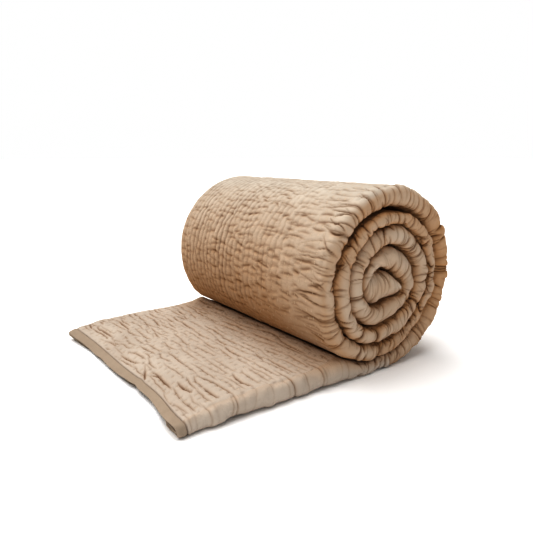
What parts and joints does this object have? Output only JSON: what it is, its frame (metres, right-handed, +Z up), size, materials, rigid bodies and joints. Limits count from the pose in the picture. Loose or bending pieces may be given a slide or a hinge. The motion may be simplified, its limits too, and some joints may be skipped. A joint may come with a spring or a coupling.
{
  "type": "folded and rolled kantha quilt",
  "caption": "Plain tan hand-quilted cotton bed quilt, folded lengthwise and rolled up into a spiral, with its bound end lying out flat.",
  "frame": {"origin": "middle of the footprint, on the floor that the quilt rests on", "axes": "+Z up, the roll's axis along Y with the spiral's open side towards -Y, the loose end lying towards -X"},
  "size_m": [0.4466, 0.3782, 0.246],
  "materials": {
    "quilt": "matt washed cotton with running-stitch rows",
    "end_binding": "matt plain-weave cotton strip"
  },
  "bodies": {
    "root": {"quilt": "quilt", "end_binding": "end_binding"}
  },
  "joints": []
}
